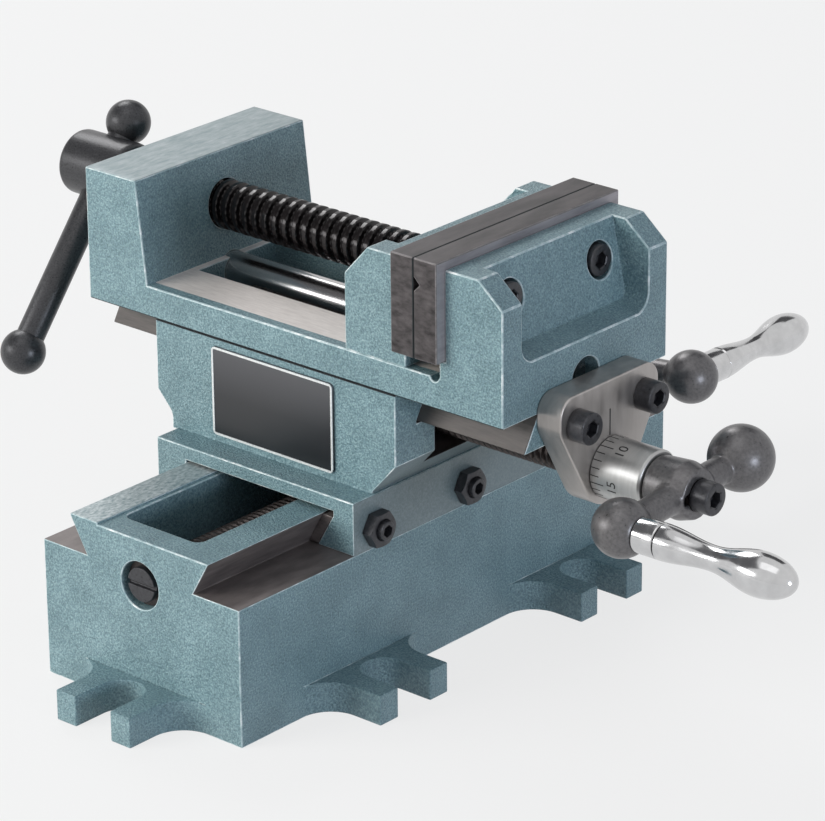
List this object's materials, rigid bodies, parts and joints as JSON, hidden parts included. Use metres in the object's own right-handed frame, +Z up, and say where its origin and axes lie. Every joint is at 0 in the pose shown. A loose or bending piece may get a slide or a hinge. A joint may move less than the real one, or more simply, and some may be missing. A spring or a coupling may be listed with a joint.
{
  "type": "cross slide vise",
  "caption": "Cross slide drill press vise: a screw vise on two crossed dovetail slides, each fed by a screw with a graduated dial and a ball crank.",
  "frame": {"origin": "centre of the base's underside, on the table that it is bolted to", "axes": "+X along the vise body from the spindle towards the fixed jaw, +Y along the base towards its crank, +Z up"},
  "size_m": [0.4042, 0.4082, 0.1871],
  "materials": {
    "teal_paint": "hammered blue-green enamel on cast iron",
    "bare_iron": "dark semi-gloss casting",
    "jaw_steel": "dark ground steel",
    "black_steel": "black oxide",
    "steel": "turned and ground",
    "polished": "polished",
    "bronze": "machined",
    "tag_black": "bare dark plate with a light border"
  },
  "bodies": {
    "base": {"base_casting": "teal_paint"},
    "base_screw": {"base_leadscrew": "steel", "base_end_washer": "steel", "base_end_screw": "black_steel", "base_dial": "steel", "base_dial_screw": "black_steel", "base_crank": "bare_iron", "base_crank_key": "steel", "base_crank_screw": "black_steel", "base_handle_stud": "polished"},
    "base_grip": {"base_grip": "polished"},
    "saddle": {"saddle_casting": "teal_paint", "lower_gib": "bare_iron", "lower_gib_screws": "black_steel", "lower_gib_nuts": "black_steel", "upper_gib": "bare_iron", "upper_gib_screws": "black_steel", "upper_gib_nuts": "black_steel", "base_feed_nut": "bronze", "base_nut_screws": "black_steel", "cross_feed_nut": "bronze", "cross_nut_screws": "black_steel", "nameplate": "tag_black"},
    "vise_body": {"vise_casting": "teal_paint", "fixed_jaw_plate": "jaw_steel", "fixed_plate_screws": "black_steel", "guide_rod": "polished", "screw_bracket": "steel", "bracket_screws": "black_steel"},
    "cross_screw": {"cross_leadscrew": "steel", "cross_dial": "steel", "cross_dial_screw": "black_steel", "cross_crank": "bare_iron", "cross_crank_key": "steel", "cross_crank_screw": "black_steel", "cross_handle_stud": "polished"},
    "cross_grip": {"cross_grip": "polished"},
    "movable_jaw": {"movable_jaw": "teal_paint", "movable_jaw_plate": "jaw_steel", "movable_plate_screws": "black_steel", "spindle_pin": "steel"},
    "spindle": {"spindle": "black_steel"},
    "tommy_bar": {"tommy_bar": "black_steel", "upper_ball": "black_steel", "lower_ball": "black_steel"}
  },
  "joints": [
    {"name": "saddle_slide", "type": "slide", "parent": "base", "child": "saddle", "axis": [0, 1, 0], "range_m": [-0.065, 0.06]},
    {"name": "base_screw_turn", "type": "hinge", "parent": "base", "child": "base_screw", "pos_m": [0, 0.131, 0.0535], "axis": [0, 1, 0], "range_deg": [-7201, 7801]},
    {"name": "base_grip_turn", "type": "hinge", "parent": "base_screw", "child": "base_grip", "pos_m": [0.03867, 0.2, 0.05859], "axis": [0, 1, 0], "continuous": true},
    {"name": "cross_slide", "type": "slide", "parent": "saddle", "child": "vise_body", "axis": [1, 0, 0], "range_m": [-0.05, 0.055]},
    {"name": "cross_screw_turn", "type": "hinge", "parent": "vise_body", "child": "cross_screw", "pos_m": [0.1305, -0.003, 0.098], "axis": [1, 0, 0], "range_deg": [-6001, 6601]},
    {"name": "cross_grip_turn", "type": "hinge", "parent": "cross_screw", "child": "cross_grip", "pos_m": [0.2, -0.04193, 0.09562], "axis": [1, 0, 0], "continuous": true},
    {"name": "jaw_slide", "type": "slide", "parent": "vise_body", "child": "movable_jaw", "axis": [-1, 0, 0], "range_m": [0, 0.1]},
    {"name": "spindle_turn", "type": "hinge", "parent": "movable_jaw", "child": "spindle", "pos_m": [0, -0.003, 0.1596], "axis": [-1, 0, 0], "range_deg": [0, 6546]},
    {"name": "bar_slide", "type": "slide", "parent": "spindle", "child": "tommy_bar", "axis": [0, 0.6225, 0.7826], "range_m": [0, 0.0636]}
  ],
  "couplings": [
    {"joint": "base_screw_turn", "follows": "saddle_slide", "rad_per_m": -2094.4},
    {"joint": "cross_screw_turn", "follows": "cross_slide", "rad_per_m": 2094.4},
    {"joint": "spindle_turn", "follows": "jaw_slide", "rad_per_m": 1142.4}
  ]
}
